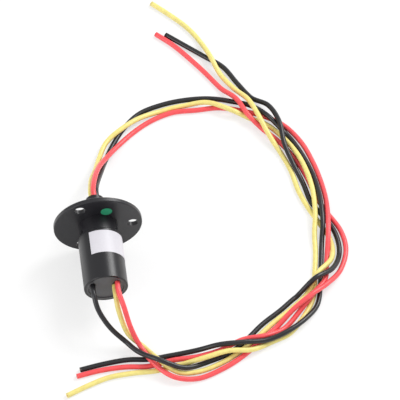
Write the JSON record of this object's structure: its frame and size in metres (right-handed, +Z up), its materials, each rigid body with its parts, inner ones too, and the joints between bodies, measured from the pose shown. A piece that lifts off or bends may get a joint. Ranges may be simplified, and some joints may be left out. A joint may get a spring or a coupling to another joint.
{
  "type": "capsule slip ring",
  "caption": "Flanged capsule slip ring: a rotor with stacked contact rings turns without limit on ball bearings inside a round housing, with loose leads from both ends.",
  "frame": {"origin": "middle of the flange's body-side face, on the axis of rotation", "axes": "+Y along the axis of rotation from the body through the flange to the boss, +Z up, +X to the right"},
  "size_m": [0.1503, 0.235, 0.0444],
  "materials": {
    "moulding": "satin",
    "steel_dark": "satin",
    "tube_black": "satin",
    "cap_grey": "matte",
    "potting": "gloss",
    "plate": "machined",
    "bearing_steel": "polished",
    "steel": "satin",
    "seal": "matte",
    "block": "matte",
    "brush_wire": "gold plated",
    "tags": "tinned",
    "tails": "satin",
    "label": "satin film",
    "sticker": "satin film",
    "rotor_black": "satin",
    "cage": "satin",
    "spacer": "machined",
    "ring": "gold plated",
    "barrier": "matte",
    "lead_red": "satin",
    "lead_yellow": "satin",
    "lead_black": "satin"
  },
  "bodies": {
    "housing": {"flange": "moulding", "neck_screws": "steel_dark", "housing_tube": "tube_black", "end_cap": "cap_grey", "slot_potting": "potting", "rear_plate": "plate", "front_outer_race": "bearing_steel", "front_shield": "steel", "preload_washer": "steel", "dust_seal": "seal", "rear_outer_race": "bearing_steel", "brush_block": "block", "brush_1": "brush_wire", "brush_2": "brush_wire", "brush_3": "brush_wire", "terminal_tags": "tags", "stator_tails": "tails", "label": "label", "sticker": "sticker", "stator_lead_red": "lead_red", "stator_lead_yellow": "lead_yellow", "stator_lead_black": "lead_black"},
    "rotor": {"rotor_shaft": "rotor_black", "front_inner_race": "bearing_steel", "front_balls": "bearing_steel", "front_cage": "cage", "rear_inner_race": "bearing_steel", "rear_balls": "bearing_steel", "rear_cage": "cage", "core_spacer": "spacer", "rear_circlip": "steel_dark", "contact_ring_1": "ring", "contact_ring_2": "ring", "contact_ring_3": "ring", "barrier_1": "barrier", "barrier_2": "barrier", "barrier_3": "barrier", "barrier_4": "barrier", "lead_potting": "potting", "rotor_tails": "tails", "rotor_lead_red": "lead_red", "rotor_lead_yellow": "lead_yellow", "rotor_lead_black": "lead_black"}
  },
  "joints": [
    {"name": "rotor_spin", "type": "hinge", "parent": "housing", "child": "rotor", "pos_m": [0, 0, 0], "axis": [0, 1, 0], "continuous": true, "deforming": ["rotor_lead_red", "rotor_lead_yellow", "rotor_lead_black"]}
  ]
}
